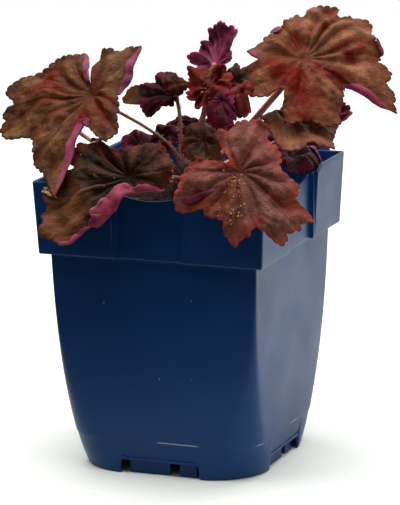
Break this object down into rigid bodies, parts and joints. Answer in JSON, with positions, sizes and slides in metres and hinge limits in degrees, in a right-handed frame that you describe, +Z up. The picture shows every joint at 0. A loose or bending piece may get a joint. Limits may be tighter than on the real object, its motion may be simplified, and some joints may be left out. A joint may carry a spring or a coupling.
{
  "type": "potted coral bells",
  "caption": "Bronze-leaved coral bells, with lobed waved leaves on thin stalks, growing in a deep square nursery pot.",
  "frame": {"origin": "middle of the pot's base, on the surface it stands on", "axes": "+Z up; the pot's front faces -Y and its right side +X"},
  "size_m": [0.1865, 0.1458, 0.2063],
  "materials": {
    "pot_plastic": "dark blue satin polypropylene, lightly scuffed",
    "soil": "damp dark potting soil with fine crumbs",
    "crown": "rough brown woody plant crown",
    "leaf_bronze": "bronze-brown ruffled leaf, magenta underneath, thin red edge",
    "leaf_russet": "russet leaf with a red-orange edge",
    "leaf_magenta": "dark magenta young leaf",
    "leaf_olive": "dark olive-brown leaf"
  },
  "bodies": {
    "root": {"pot": "pot_plastic", "soil": "soil", "crown": "crown", "leaf_left": "leaf_bronze", "leaf_rim": "leaf_bronze", "leaf_front": "leaf_russet", "leaf_right": "leaf_bronze", "leaf_side": "leaf_magenta", "leaf_top": "leaf_magenta", "leaf_centre": "leaf_russet", "leaf_low_right": "leaf_russet", "leaf_inner_right": "leaf_olive", "leaf_behind_right": "leaf_magenta", "leaf_low_centre": "leaf_olive", "leaf_inner_left": "leaf_magenta", "leaf_pointed": "leaf_magenta", "leaf_olive": "leaf_olive", "leaf_maroon": "leaf_magenta", "leaf_orange": "leaf_russet", "leaf_curl": "leaf_russet", "leaf_hook": "leaf_olive", "leaf_back_left": "leaf_bronze", "leaf_back_right": "leaf_bronze", "leaf_back_side": "leaf_bronze"}
  },
  "joints": []
}
